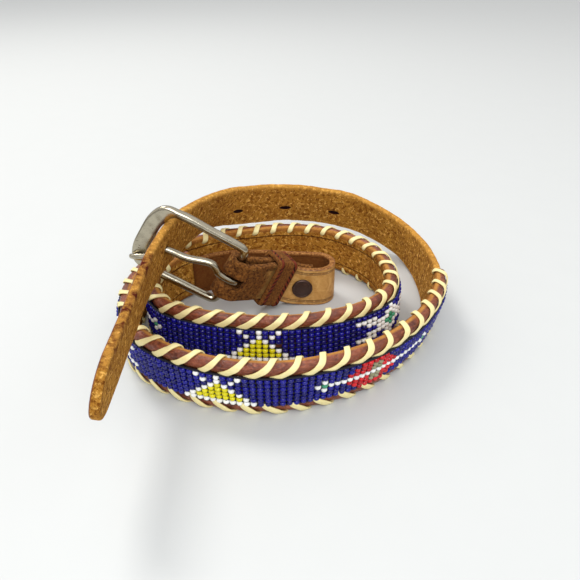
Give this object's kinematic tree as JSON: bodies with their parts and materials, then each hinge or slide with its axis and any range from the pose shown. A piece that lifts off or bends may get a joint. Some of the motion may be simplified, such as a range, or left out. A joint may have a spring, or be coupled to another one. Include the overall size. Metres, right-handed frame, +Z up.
{
  "type": "beaded belt",
  "caption": "Leather belt with a beaded band and whip-laced edges, lying in a coil with its end through a nickel buckle.",
  "frame": {"origin": "middle of the underside of the box round the whole belt", "axes": "+Z up from the surface the belt lies on, +Y towards the back of the coil, the free end points along -Y, +X to the right seen from the front"},
  "size_m": [0.1356, 0.1642, 0.0538],
  "materials": {
    "strap_leather": "rough flesh side, brown",
    "panel_leather": "semi-gloss reddish brown",
    "glass_beads": "glossy opaque, mostly navy",
    "lace": "smooth pale cream",
    "billet_leather": "smooth light tan",
    "keeper_leather": "worn dark brown",
    "worn_nickel": "worn and pitted",
    "dark_brass": "dark patina"
  },
  "bodies": {
    "root": {"belt_strap": "strap_leather", "front_panel": "panel_leather", "bead_band": "glass_beads", "top_lacing": "lace", "bottom_lacing": "lace", "buckle_billet": "billet_leather", "keeper": "keeper_leather", "snap_cap": "dark_brass", "buckle_frame": "worn_nickel", "prong": "worn_nickel"}
  },
  "joints": []
}
